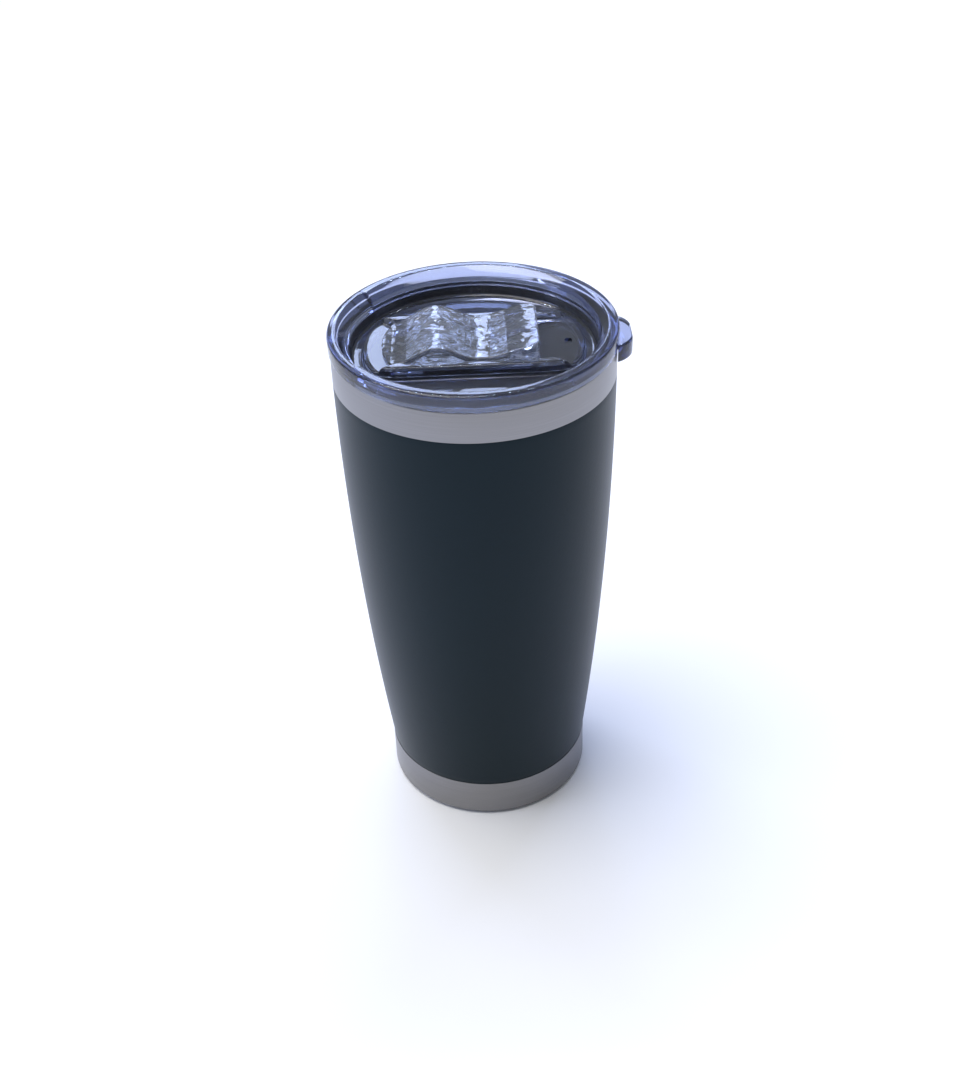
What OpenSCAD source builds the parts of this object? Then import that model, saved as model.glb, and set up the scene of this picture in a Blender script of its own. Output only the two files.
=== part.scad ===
// Vacuum insulated tumbler: double-wall steel cup, press-in clear lid and sliding drink closure.
// Millimetres. +Z is up, the origin is the centre of the foot, -X is the side to drink from.

/* [Cup] */
// Height of the steel lip above the table
cup_h = 170; // [140:1:210]
// Outside diameter of the bare steel band at the lip
lip_d = 87.8; // [84:0.2:106]
// Outside diameter of the bare steel band at the foot
base_d = 69.2; // [57:0.2:84]
// How far the side bows out between the two bands
bow = 2.1; // [0:0.1:3]
// Height of the bare steel band at the lip
top_band_h = 10.3; // [8:0.1:13]
// Height of the bare steel band at the foot
bottom_band_h = 14.5; // [12:0.1:18]
// How far the painted side sits inside the bottom band
band_step = 0.15; // [0:0.05:0.3]
// Thickness of the painted layer
coat_t = 0.15; // [0.1:0.05:0.3]

/* [Walls] */
// Thickness of the outer steel wall
shell_t = 0.5; // [0.4:0.05:0.7]
// Thickness of the inner steel wall
liner_t = 0.5; // [0.4:0.05:0.7]
// Thickness of the heat-reflecting copper layer
copper_t = 0.15; // [0.1:0.05:0.2]
// Whole wall at the mouth, both steel walls and the gap
mouth_wall = 2.3; // [1.9:0.1:2.8]
// Whole wall at the foot, both steel walls and the gap
foot_wall = 4.4; // [3.6:0.1:5.5]
// Height of the drinking floor above the table
floor_z = 13; // [12:0.5:20]
// Inside corner radius at the drinking floor
floor_round = 8; // [5:0.5:12]
// Rounding of the lip
lip_round = 0.7; // [0.4:0.1:0.7]

/* [Base] */
// Height at which the outer wall ends above the table
shell_end_z = 1.4; // [1.2:0.1:2]
// Thickness of the bottom cover and of the vacuum base
base_t = 0.7; // [0.5:0.1:1]
// Width of the ring that the cup stands on
foot_w = 3; // [2:0.5:5]
// Depth of the hollow inside the foot ring
foot_hollow = 1.8; // [1:0.1:2.5]
// Height of the bottom cover's skirt inside the outer wall
cover_skirt_h = 3.6; // [3:0.1:4.5]
// Height of the vacuum base's skirt
vacuum_skirt_h = 3; // [2.5:0.1:3.5]
// Diameter of the seal bead that closes the evacuation hole
seal_d = 8; // [6:0.5:12]
// Thickness of the seal bead
seal_t = 0.9; // [0.6:0.1:1.2]
// Diameter of the evacuation hole
evac_d = 1.6; // [1:0.1:2.5]
// Distance of the getter from the centre
getter_x = 15; // [12:1:18]
// Diameter of the getter pellet
getter_d = 6; // [4:0.5:8]
// Thickness of the getter pellet
getter_t = 1.2; // [0.8:0.1:1.4]
// Thickness of the getter clip's strip
clip_t = 0.3; // [0.2:0.05:0.4]

/* [Lid] */
// Height of the lid's rim above the lip
flange_h = 5.1; // [4:0.1:7]
// How far the rim overhangs the lip
flange_over = 0.55; // [0.4:0.05:2]
// Gap between the rim and the lip
seat_gap = 0.1; // [0.05:0.05:0.2]
// Wall thickness of the lid
lid_t = 1.8; // [1.4:0.1:2.2]
// Depth of the well below the top of the rim
well_depth = 9.2; // [8.5:0.1:11]
// Width of the flat top of the rim, from its outside
rim_flat_w = 3.4; // [2.5:0.1:4]
// Width of the sloped inside edge of the rim
bevel_w = 2.4; // [1.5:0.1:3]
// Height of the sloped inside edge of the rim
bevel_h = 2; // [1:0.1:3]
// Rounding of the rim's outer edge
rim_round = 1.1; // [0.6:0.1:1.6]
// Gap between the lid's plug and the mouth
plug_gap = 1.4; // [1:0.1:2]
// How far the plug's skirt reaches below the well floor
skirt_drop = 4.5; // [3:0.5:8]
// Half of the angle that the drinking slope covers
lip_slope_angle = 35; // [25:1:45]
// Width left on top of the rim where the drinking slope cuts it
lip_slope_rim = 2.6; // [2:0.1:3]
// How far the lift tab stands out from the rim
tab_reach = 4; // [3:0.5:8]
// Width of the lift tab
tab_w = 22; // [17:1:28]
// Corner radius of the lift tab
tab_round = 7; // [4:0.5:8]
// Height of the lift tab
tab_h = 5.7; // [4:0.1:6.5]
// How far the lift tab's top lies under the rim's top
tab_drop = 4; // [3.5:0.1:4.3]

/* [Gasket] */
// Depth of the gasket's groove in the plug
groove_depth = 1.2; // [0.8:0.1:1.5]
// Height of the gasket's groove
groove_h = 3.3; // [2.6:0.1:4]
// Clear gap round the gasket in its groove
gasket_gap = 0.06; // [0.04:0.01:0.1]
// Clear gap between the gasket's fins and the mouth
fin_gap = 0.05; // [0.03:0.01:0.1]
// Thickness of each gasket fin
fin_t = 0.7; // [0.5:0.1:1]

/* [Deck] */
// Height of the slider's deck above the well floor
deck_h = 2.4; // [2:0.1:3]
// Gap between the deck's round ends and the wall of the well
deck_moat = 3.7; // [2.5:0.1:5]
// Width of the deck
deck_w = 34.4; // [32:0.2:38]
// Thickness of the rails beside the slider
rail_t = 1.5; // [1.2:0.1:2]
// Height of the gap under each rail's lip
rail_slot_h = 1.25; // [1.2:0.05:1.4]
// Thickness of each rail's lip
rail_lip_t = 0.6; // [0.5:0.05:0.8]
// How far each rail's lip reaches over the slider
rail_lip_w = 1.3; // [1:0.1:1.6]
// Width of the drink opening
drink_w = 19; // [14:0.5:22]
// Length of the drink opening along the slide
drink_l = 11; // [8:0.5:12]
// Corner radius of the drink opening
drink_round = 3; // [2:0.5:4]
// Diameter of the vent hole
vent_d = 2.4; // [1.6:0.1:3]
// Distance of the vent hole from the deck's round end
vent_inset = 5; // [4:0.5:7]

/* [Slider] */
// How far the slider travels to open
travel = 14.5; // [11:0.5:16]
// Distance from the deck's round end to the closed slider's tip
tip_inset = 6; // [5:0.5:8]
// Thickness of the slider's flat plate
plate_t = 1; // [0.8:0.05:1.05]
// Gap under the slider's plate
plate_gap = 0.1; // [0.05:0.01:0.12]
// Gap beside the slider
side_gap = 0.25; // [0.15:0.05:0.4]
// Thickness of the wavy grip
ribbon_t = 1.6; // [1.2:0.1:2]
// Height of the grip's crest above the plate
crest_h = 5.3; // [4:0.1:5.5]
// Height of the grip's dip above the plate
dip_h = 1.3; // [1:0.1:2]
// Height of the grip's tail above the plate
tail_h = 5; // [4:0.1:5.4]
// Length of the grip's solid tail
tail_l = 9.3; // [4:0.1:12]
// Corner radius of the slider's tail
tail_round = 4; // [2:0.5:6]
// Depth of the thumb hollow in the crest
thumb_depth = 0.8; // [0.4:0.1:0.9]
// Diameter of the peg under the slider
peg_d = 3.6; // [3:0.1:4.5]
// How far the peg's head stands out past its stem
peg_head = 0.7; // [0.4:0.1:1]

/* [Hidden] */
$fn = 96;
overcut = 1;                       // how far a cutting shape runs past the face that it opens
side_steps = 18;                   // cone frustums that make up the bowed side
arc_steps = 8;                     // chords in a rounded corner of a turned outline
wave_steps = 40;                   // chords in the slider's wave

// Cup levels and radii
lip_r = lip_d / 2;
base_r = base_d / 2;
side_top_z = cup_h - top_band_h;
mouth_r = lip_r - mouth_wall;
base_bore_r = base_r - shell_t;
join_z = floor_z + floor_round;
side_zs = [for (i = [0 : side_steps]) bottom_band_h + (side_top_z - bottom_band_h) * i / side_steps];
// the weld between liner and liner bottom lies under every level in liner_zs after the first
liner_zs = concat([join_z], [for (z = side_zs) if (z > join_z + 1) z]);
copper_zs = [for (z = liner_zs) if (z < side_top_z - 1) z];

// Base levels
cover_top_z = shell_end_z + cover_skirt_h;
vacuum_top_z = cover_top_z + vacuum_skirt_h;
vacuum_under_z = vacuum_top_z - base_t;
seal_r = seal_d / 2;

// Lid levels and radii
flange_z = cup_h + seat_gap;
rim_top_z = flange_z + flange_h;
flange_r = lip_r + flange_over;
plug_r = mouth_r - plug_gap;
groove_r = plug_r - groove_depth;
groove_top_z = flange_z - 1.1;
groove_bottom_z = groove_top_z - groove_h;
well_z = rim_top_z - well_depth;
well_r = groove_r - 1.3;
skirt_z = well_z - lid_t - skirt_drop;
deck_r = well_r - deck_moat;
deck_z = well_z + deck_h;
rail_in_y = deck_w / 2 - rail_t;
rail_top_z = deck_z + rail_slot_h + rail_lip_t;

// Slider
plate_z = deck_z + plate_gap;
plate_top_z = plate_z + plate_t;
body_half_w = rail_in_y - rail_lip_w - side_gap;
plate_half_w = rail_in_y - side_gap;
tip_r = deck_r - tip_inset;
tail_x = sqrt(pow(well_r - 0.7, 2) - pow(body_half_w, 2)) - travel;
slider_l = tip_r + tail_x;
crest_x = -tip_r + 0.35 * slider_l;
dip_x = -tip_r + 0.62 * slider_l;
wave_x0 = -tip_r + 3;
drink_r = tip_r - 1.5;             // outer arc of the drink opening, under the closed slider's tip
drink_x = -drink_r + drink_l;
peg_x = dip_x;
peg_slot_w = peg_d + 0.5;
underside_z = deck_z - lid_t;

// ---- outlines and helpers ----
function arc(cx, cy, r, a0, a1) =
    [for (i = [0 : arc_steps]) let (a = a0 + (a1 - a0) * i / arc_steps) [cx + r * cos(a), cy + r * sin(a)]];
function reversed(v) = [for (i = [len(v) - 1 : -1 : 0]) v[i]];
// share of the way up the painted side, held at 0 and 1 on the bare bands
function up_side(z) = max(0, min(1, (z - bottom_band_h) / (side_top_z - bottom_band_h)));
// radius of the finished outside: a straight taper plus a parabolic bow
function side_r(z) = let (u = up_side(z)) (base_r - band_step) * (1 - u) + lip_r * u + 4 * bow * u * (1 - u);
// radius of the drinking space, whose wall thickens towards the foot
function liner_r(z) = side_r(z) - foot_wall + (foot_wall - mouth_wall) * up_side(z);
// half-cosine step from a to b
function ease(a, b, t) = a + (b - a) * (1 - cos(180 * t)) / 2;
// top of the slider's grip above its plate: up to the crest, down to the dip and up to the tail
function wave(x) =
    x < crest_x ? ease(0, crest_h, (x - wave_x0) / (crest_x - wave_x0)) :
    x < dip_x ? ease(crest_h, dip_h, (x - crest_x) / (dip_x - crest_x)) :
    ease(dip_h, tail_h, (x - dip_x) / (tail_x - dip_x));

module turned(points) { rotate_extrude() polygon(points); }
module block(x0, x1, y0, y1, z0, z1) { translate([x0, y0, z0]) cube([x1 - x0, y1 - y0, z1 - z0]); }
module slab(z0, z1) { translate([0, 0, z0]) linear_extrude(z1 - z0) children(); }

// rectangle from (x0, -w/2) to (x1, w/2) with rounded corners
module round_rect(x0, x1, w, r) {
    translate([x0 + r, -w / 2]) square([x1 - x0 - 2 * r, w]);
    translate([x0, -w / 2 + r]) square([x1 - x0, w - 2 * r]);
    for (x = [x0 + r, x1 - r], y = [-w / 2 + r, w / 2 - r]) translate([x, y]) circle(r);
}

// ---- cup ----
module outer_shell() {
    painted = [for (z = side_zs) [side_r(z) - coat_t, z]];
    color("silver") turned(concat(
        [[base_r, shell_end_z], [base_r, bottom_band_h]],
        painted,
        [[lip_r, side_top_z]],
        arc(lip_r - lip_round, cup_h - lip_round, lip_round, 0, 90),
        [[mouth_r + liner_t, cup_h], [mouth_r + liner_t, cup_h - shell_t],
         [lip_r - shell_t, cup_h - shell_t], [lip_r - shell_t, side_top_z]],
        reversed([for (p = painted) [p[0] - shell_t, p[1]]]),
        [[base_bore_r, bottom_band_h], [base_bore_r, shell_end_z]]));
}

module inner_liner() {
    inside = concat([for (z = liner_zs) [liner_r(z), z]], [[mouth_r, cup_h]]);
    color("gainsboro") turned(concat(inside, reversed([for (p = inside) [p[0] + liner_t, p[1]]])));
}

// quarter turn of the liner's bottom corner, thickness t outside the drinking space
function bottom_corner(t) =
    arc(liner_r(join_z) - floor_round, join_z, floor_round + t, -90, 0);

module liner_bottom() {
    color("gainsboro") turned(concat(
        [[0, floor_z]], bottom_corner(0), reversed(bottom_corner(liner_t)), [[0, floor_z - liner_t]]));
}

// the film on the vacuum side of the liner, t away from the drinking space
function film(t) = concat([[0, floor_z - t]], bottom_corner(t), [for (z = copper_zs) [liner_r(z) + t, z]]);

module copper_lining() {
    color("peru") turned(concat(film(liner_t), reversed(film(liner_t + copper_t))));
}

module powder_coat() {
    face = [for (z = side_zs) [side_r(z), z]];
    color("#1d2b2e") turned(concat(face, reversed([for (p = face) [p[0] - coat_t, p[1]]])));
}

// ---- base ----
module vacuum_base() {
    color("silver") difference() {
        turned([[0, vacuum_top_z + seal_t], [seal_r + base_t, vacuum_top_z + seal_t],
                [seal_r + 2 * base_t, vacuum_top_z], [base_bore_r, vacuum_top_z],
                [base_bore_r, cover_top_z], [base_bore_r - base_t, cover_top_z],
                [base_bore_r - base_t, vacuum_under_z], [seal_r, vacuum_under_z],
                [seal_r, vacuum_under_z + seal_t], [0, vacuum_under_z + seal_t]]);
        translate([0, 0, vacuum_under_z]) cylinder(h = base_t + seal_t + overcut, d = evac_d);
    }
}

// glass solder that fills the dimple and runs up into the evacuation hole
module seal_bead() {
    color("dimgray") union() {
        translate([0, 0, vacuum_under_z]) cylinder(h = seal_t, r = seal_r);
        translate([0, 0, vacuum_under_z + seal_t]) cylinder(h = base_t / 2, d = evac_d);
    }
}

module getter_pellet() {
    color("darkslategray") translate([getter_x, 0, vacuum_top_z]) cylinder(h = getter_t, d = getter_d);
}

// strap over the pellet, with a welded ear on each side
module getter_clip() {
    inner = getter_d / 2 + 0.1;
    outer = inner + clip_t;
    ear = 2.5;
    half_w = 1.8;
    top = vacuum_top_z + getter_t;
    color("lightgray") union() {
        block(getter_x - half_w, getter_x + half_w, -outer, outer, top, top + clip_t);
        for (s = [-1, 1]) {
            block(getter_x - half_w, getter_x + half_w, s > 0 ? inner : -outer, s > 0 ? outer : -inner,
                  vacuum_top_z, top + clip_t);
            block(getter_x - half_w, getter_x + half_w, s > 0 ? inner : -outer - ear,
                  s > 0 ? outer + ear : -inner, vacuum_top_z, vacuum_top_z + clip_t);
        }
    }
}

module base_cover() {
    edge = shell_end_z - 0.2;
    ring_r = base_r - edge;
    hollow_r = ring_r - foot_w - foot_hollow;
    color("silver") turned(concat(
        [[0, foot_hollow], [hollow_r, foot_hollow], [ring_r - foot_w, 0]],
        arc(ring_r, edge, edge, -90, 0),
        [[base_r, shell_end_z], [base_bore_r, shell_end_z], [base_bore_r, cover_top_z],
         [base_bore_r - base_t, cover_top_z], [base_bore_r - base_t, base_t],
         [ring_r - foot_w + 0.3, base_t], [hollow_r + 0.3, foot_hollow + base_t],
         [0, foot_hollow + base_t]]));
}

// ---- lid ----
// outline of the turned part of the lid: rim, wall of the well, floor, and plug with its groove
function lid_outline() = concat(
    [[plug_r, flange_z], [flange_r - 0.5, flange_z], [flange_r, flange_z + 0.5]],
    arc(flange_r - 0.2 - rim_round, rim_top_z - rim_round, rim_round, 0, 90),
    [[flange_r - rim_flat_w, rim_top_z], [flange_r - rim_flat_w - bevel_w, rim_top_z - bevel_h]],
    arc(well_r - 1, well_z + 1, 1, 0, -90),
    [[0, well_z], [0, well_z - lid_t], [plug_r - lid_t, well_z - lid_t], [plug_r - lid_t, skirt_z],
     [plug_r - 0.6, skirt_z], [plug_r, skirt_z + 1.2], [plug_r, groove_bottom_z],
     [groove_r, groove_bottom_z], [groove_r, groove_top_z], [plug_r, groove_top_z]]);

module deck_outline(inset) {
    intersection() {
        circle(deck_r - inset);
        square([2 * deck_r, deck_w - 2 * inset], center = true);
    }
}

// side rails whose lips hold the slider's plate down
module rails() {
    end_x = sqrt(pow(deck_r, 2) - pow(deck_w / 2, 2)) - 0.5;
    for (s = [-1, 1]) {
        block(-end_x, end_x, s > 0 ? rail_in_y : -deck_w / 2, s > 0 ? deck_w / 2 : -rail_in_y,
              deck_z - lid_t, rail_top_z);
        block(-end_x, end_x, s > 0 ? rail_in_y - rail_lip_w : -rail_in_y - rail_t / 2,
              s > 0 ? rail_in_y + rail_t / 2 : -rail_in_y + rail_lip_w, deck_z + rail_slot_h, rail_top_z);
    }
}

module drink_outline() {
    intersection() {
        circle(drink_r);
        round_rect(-drink_r - drink_round, drink_x, drink_w, drink_round);
    }
}

// wedge of the rim on the drinking side that is cut back to a slope
module drinking_slope() {
    foot_r = well_r - 0.6;
    foot_slope_z = deck_z + 0.6;
    top_r = flange_r - lip_slope_rim;
    rotate([0, 0, 180 - lip_slope_angle]) rotate_extrude(angle = 2 * lip_slope_angle)
        polygon([[foot_r - 2, foot_slope_z], [foot_r, foot_slope_z], [top_r, rim_top_z],
                 [top_r, rim_top_z + overcut], [foot_r - 2, rim_top_z + overcut]]);
}

module lift_tab() {
    tip = flange_r + tab_reach;
    top = rim_top_z - tab_drop;
    difference() {
        slab(top - tab_h, top) intersection() {
            circle(tip);
            round_rect(0, tip, tab_w, tab_round);
        }
        slab(flange_z - 10, flange_z) circle(flange_r);
        slab(flange_z - 10, top + overcut) circle(plug_r + 1);
    }
}

module lid_shell() {
    color("#7f8ba6", 0.5) difference() {
        union() {
            turned(lid_outline());
            slab(well_z - lid_t, deck_z) deck_outline(0);
            rails();
            lift_tab();
        }
        slab(well_z - lid_t - overcut, underside_z) deck_outline(lid_t);
        slab(underside_z - overcut, deck_z + overcut) drink_outline();
        slab(underside_z - overcut, deck_z + overcut)
            round_rect(peg_x - peg_slot_w / 2, peg_x + travel + peg_slot_w / 2, peg_slot_w, peg_slot_w / 2 - 0.01);
        translate([deck_r - vent_inset, 0, underside_z - overcut]) cylinder(h = lid_t + 2 * overcut, d = vent_d);
        drinking_slope();
    }
}

module lid_gasket() {
    inside = groove_r + gasket_gap;
    low = groove_bottom_z + gasket_gap;
    high = groove_top_z - gasket_gap;
    root = plug_r + 0.35;
    fin = mouth_r - fin_gap;
    mid = (low + high) / 2;
    color("#1c1d22") turned([
        [inside, low], [root, low], [fin, low + 0.4], [fin, low + 0.4 + fin_t / 2], [root, low + fin_t + 0.3],
        [root, mid], [fin, mid + 0.4], [fin, mid + 0.4 + fin_t / 2], [root, mid + fin_t + 0.3],
        [root, high], [inside, high]]);
}

// ---- slider ----
module slider_outline(half_w) {
    intersection() {
        circle(tip_r + 0.01);
        translate([-tip_r - 1, -half_w]) square([tip_r + 1, 2 * half_w]);
    }
    round_rect(-tail_round - 1, tail_x, 2 * half_w, tail_round);
}

module slider() {
    xs = [for (i = [0 : wave_steps]) wave_x0 + (tail_x - wave_x0) * i / wave_steps];
    solid_x = tail_x - tail_l;
    // the ribbon's underside runs up to the solid tail
    under = concat([for (x = xs) if (x < solid_x) x], [solid_x]);
    grip = concat([for (x = xs) [x, plate_top_z + wave(x)]],
                  [[tail_x, plate_z], [solid_x, plate_z]],
                  reversed([for (x = under) [x, plate_top_z + wave(x) - ribbon_t]]));
    thumb_r = 14;
    head_z = underside_z - 0.3;
    color("aliceblue", 0.5) union() {
        slab(plate_z, plate_top_z) slider_outline(plate_half_w);
        difference() {
            intersection() {
                translate([0, body_half_w, 0]) rotate([90, 0, 0])
                    linear_extrude(2 * body_half_w) polygon(grip);
                slab(plate_z, plate_top_z + crest_h + overcut) slider_outline(body_half_w);
            }
            translate([crest_x, 0, plate_top_z + crest_h + thumb_r - thumb_depth]) sphere(thumb_r);
        }
        // peg through the slot, with a head that snaps under the deck
        translate([peg_x, 0, head_z - 1.2]) cylinder(h = plate_z - head_z + 1.2 + plate_t / 2, d = peg_d);
        translate([peg_x, 0, head_z - 1.2])
            rotate_extrude() polygon([[0, 0], [peg_d / 2 - 0.3, 0], [peg_d / 2 + peg_head, 0.9],
                                      [peg_d / 2 + peg_head, 1.2], [0, 1.2]]);
    }
}

outer_shell();
inner_liner();
liner_bottom();
copper_lining();
vacuum_base();
seal_bead();
getter_clip();
getter_pellet();
base_cover();
powder_coat();
lid_shell();
lid_gasket();
slider();
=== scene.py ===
"""Vacuum tumbler: smooth, finished pieces for a double-wall steel cup with a clear sliding lid."""

import math

import bmesh
import bpy
import numpy as np
from mathutils import Matrix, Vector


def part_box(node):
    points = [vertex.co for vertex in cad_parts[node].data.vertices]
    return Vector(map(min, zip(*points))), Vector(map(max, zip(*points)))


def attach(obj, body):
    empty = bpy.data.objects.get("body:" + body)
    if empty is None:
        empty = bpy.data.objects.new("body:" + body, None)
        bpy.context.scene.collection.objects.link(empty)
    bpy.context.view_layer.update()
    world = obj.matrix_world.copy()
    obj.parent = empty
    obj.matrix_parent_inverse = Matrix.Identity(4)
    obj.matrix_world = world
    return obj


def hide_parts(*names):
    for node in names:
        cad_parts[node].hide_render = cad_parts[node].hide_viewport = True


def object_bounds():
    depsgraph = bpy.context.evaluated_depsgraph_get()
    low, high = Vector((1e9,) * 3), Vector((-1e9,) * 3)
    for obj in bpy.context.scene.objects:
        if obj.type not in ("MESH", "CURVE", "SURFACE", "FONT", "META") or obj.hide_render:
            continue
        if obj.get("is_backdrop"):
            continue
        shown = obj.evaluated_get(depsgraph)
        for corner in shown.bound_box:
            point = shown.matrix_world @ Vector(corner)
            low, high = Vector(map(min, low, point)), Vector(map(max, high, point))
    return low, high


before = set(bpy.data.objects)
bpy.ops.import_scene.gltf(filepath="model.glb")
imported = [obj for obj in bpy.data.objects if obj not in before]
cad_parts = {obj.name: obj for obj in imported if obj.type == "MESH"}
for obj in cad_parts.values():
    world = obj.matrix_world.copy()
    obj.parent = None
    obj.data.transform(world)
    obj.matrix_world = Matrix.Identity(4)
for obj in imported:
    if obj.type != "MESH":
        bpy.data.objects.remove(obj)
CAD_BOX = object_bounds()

bl_info = {
    "name": "Vacuum Tumbler",
    "version": (1, 0, 0),
    "blender": (4, 5, 0),
    "location": "View3D > Sidebar > Tumbler",
    "description": "Builds the cup, the clear lid with its slider, and a plain studio around them",
    "category": "Object",
}

MM = 0.001
TURN = 2 * math.pi

SHELL_LOW, SHELL_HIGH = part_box("outer_shell")
COAT_LOW, COAT_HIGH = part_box("powder_coat")
COVER_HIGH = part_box("base_cover")[1]
LINER_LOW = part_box("inner_liner")[0]
LID_LOW, LID_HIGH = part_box("lid_shell")
GASKET_LOW, GASKET_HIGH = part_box("lid_gasket")
SLIDER_LOW, SLIDER_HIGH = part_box("slider")
RIM_RADIUS = -LID_LOW.x
SLIDER_LENGTH = SLIDER_HIGH.x - SLIDER_LOW.x
CREST_X = SLIDER_LOW.x + 0.35 * SLIDER_LENGTH
DIP_X = SLIDER_LOW.x + 0.62 * SLIDER_LENGTH

# Each softbox: place in metres, width and height in metres, power in watts.
SOFTBOXES = {
    "behind": ((-0.05, 1.2, 0.79), (0.245, 0.34), 1.8),
    "left": ((-0.9, -0.2, 0.35), (0.3, 0.5), 1.8),
    "high_strip": ((0.0, 0.45, 1.05), (0.9, 0.03), 8.0),
}
SOFTBOX_COLOUR = (0.55, 0.66, 1)
OVERHEAD_COLOUR = (1, 0.98, 0.95)
SURROUNDINGS_COLOUR = (0.84, 0.9, 1, 1)
FLOOR_COLOUR = (0.93, 0.93, 0.94, 1)


# ---- user settings ----

def length(name, value, about):
    """A length property, given in millimetres."""
    return bpy.props.FloatProperty(
        name=name, description=about, default=value * MM, min=0, unit="LENGTH", precision=5)


def angle(name, degrees, about):
    """An angle property, given in degrees."""
    return bpy.props.FloatProperty(
        name=name, description=about, default=math.radians(degrees), subtype="ANGLE")


def colour(name, rgb, about):
    """A linear colour."""
    return bpy.props.FloatVectorProperty(
        name=name, description=about, default=rgb, min=0, max=1, size=3, subtype="COLOR")


class CupSizes(bpy.types.PropertyGroup):
    """Sizes of the steel cup that its CAD boxes don't give."""
    bow: length("Bow", 2.1, "How far the side bows out between the two bands")
    band_step: length("Band step", 0.15, "How far the painted side sits inside the foot band")
    coat: length("Coat", 0.15, "Thickness of the painted layer")
    steel: length("Steel", 0.5, "Thickness of one steel wall")
    mouth_wall: length("Mouth wall", 2.3, "Whole wall at the mouth")
    foot_wall: length("Foot wall", 4.4, "Whole wall at the foot")
    floor_round: length("Floor rounding", 8, "Inside corner radius at the drinking floor")
    lip_round: length("Lip rounding", 0.7, "Rounding of the lip")
    foot_ring: length("Foot ring", 3, "Width of the ring that the cup stands on")
    foot_hollow: length("Foot hollow", 1.8, "Depth of the hollow inside the foot ring")


class LidSizes(bpy.types.PropertyGroup):
    """Sizes of the lid and its gasket that their CAD boxes don't give."""
    wall: length("Wall", 1.8, "Wall thickness of the lid")
    flange: length("Flange", 5.1, "Height of the rim above the cup's lip")
    well_depth: length("Well depth", 9.2, "Depth of the well below the rim")
    well_radius: length("Well radius", 37.7, "Radius of the well at its floor")
    rim_flat: length("Rim flat", 3.4, "Width of the top of the rim")
    bevel_height: length("Bevel height", 2, "Height of the rim's sloped inside edge")
    plug_radius: length("Plug radius", 40.2, "Radius of the plug below the rim")
    groove_radius: length("Groove radius", 39, "Radius of the gasket's groove")
    groove_top: length("Groove top", 6.2, "Depth of the groove's top below the rim")
    groove_height: length("Groove height", 3.3, "Height of the gasket's groove")
    deck_height: length("Deck height", 2.4, "Height of the deck above the well floor")
    deck_radius: length("Deck radius", 34, "Radius of the deck's round ends")
    deck_half: length("Deck half width", 17.2, "Half the width of the deck")
    rail: length("Rail", 1.5, "Thickness of the rails beside the slider")
    rail_slot: length("Rail slot", 1.25, "Height of the gap under each rail's lip")
    rail_lip: length("Rail lip", 0.6, "Thickness of each rail's lip")
    rail_reach: length("Rail reach", 1.3, "How far each rail's lip reaches over the slider")
    slope_angle: angle("Slope angle", 35, "Half the angle that the drinking slope covers")
    slope_rim: length("Slope rim", 2.6, "Width left on top of the rim at the drinking slope")
    tab_width: length("Tab width", 22, "Width of the lift tab")
    tab_round: length("Tab rounding", 7, "Corner radius of the lift tab")
    tab_height: length("Tab height", 5.7, "Height of the lift tab")
    tab_drop: length("Tab drop", 4, "How far the tab's top lies under the rim")
    drink_width: length("Drink width", 19, "Width of the drink opening")
    drink_length: length("Drink length", 11, "Length of the drink opening")
    drink_inset: length("Drink inset", 1.5, "Distance of the drink opening from the slider's tip")
    vent: length("Vent", 2.4, "Diameter of the vent hole")
    vent_inset: length("Vent inset", 5, "Distance of the vent hole from the deck's end")
    travel: length("Travel", 14.5, "How far the slider moves to open")


class SliderSizes(bpy.types.PropertyGroup):
    """Sizes of the slider that its CAD box doesn't give."""
    plate: length("Plate", 1, "Thickness of the flat plate")
    body_half: length("Grip half width", 14.15, "Half the width of the grip")
    ribbon: length("Ribbon", 1.6, "Thickness of the wavy grip")
    crest: length("Crest", 5.3, "Height of the grip's crest above the plate")
    dip: length("Dip", 1.3, "Height of the grip's dip above the plate")
    tail: length("Tail", 5, "Height of the grip's tail above the plate")
    tail_length: length("Tail length", 9.3, "Length of the grip's solid tail")
    tail_round: length("Tail rounding", 4, "Corner radius of the tail in plan")
    wave_start: length("Wave start", 3, "Distance from the tip to where the grip rises")
    thumb: length("Thumb hollow", 0.8, "Depth of the thumb hollow")
    peg: length("Peg", 3.6, "Diameter of the peg under the plate")
    peg_head: length("Peg head", 0.7, "How far the peg's head stands out")


class Finishes(bpy.types.PropertyGroup):
    """Colours of the finishes."""
    paint: colour("Paint", (0.004, 0.011, 0.015), "Green-black powder coat")
    steel: colour("Steel", (0.262, 0.258, 0.264), "Bare brushed steel")
    liner: colour("Liner steel", (0.55, 0.56, 0.6), "Steel inside the cup")
    smoke: colour("Smoke tint", (0.44, 0.5, 0.73), "Tint of the lid's plastic")
    clear: colour("Clear tint", (0.88, 0.9, 0.96), "Tint of the slider's plastic")
    silicone: colour("Silicone", (0.006, 0.007, 0.011), "Black gasket")
    copper: colour("Copper", (0.72, 0.36, 0.22), "Heat-reflecting film")


class StageSizes(bpy.types.PropertyGroup):
    """Camera and studio."""
    distance: length("Camera distance", 498, "From the camera to its aim on the cup's axis")
    aim: length("Aim height", 87, "Height of the point that the camera aims at")
    elevation: angle("Elevation", 36.3, "Camera's angle above the horizon")
    roll: angle("Roll", 2.29, "Camera's turn about its own axis")
    focal: bpy.props.FloatProperty(
        name="Focal length", description="In millimetres on a 36 mm sensor", default=49.4, min=10)


# ---- shapes worked out as arrays ----

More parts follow.
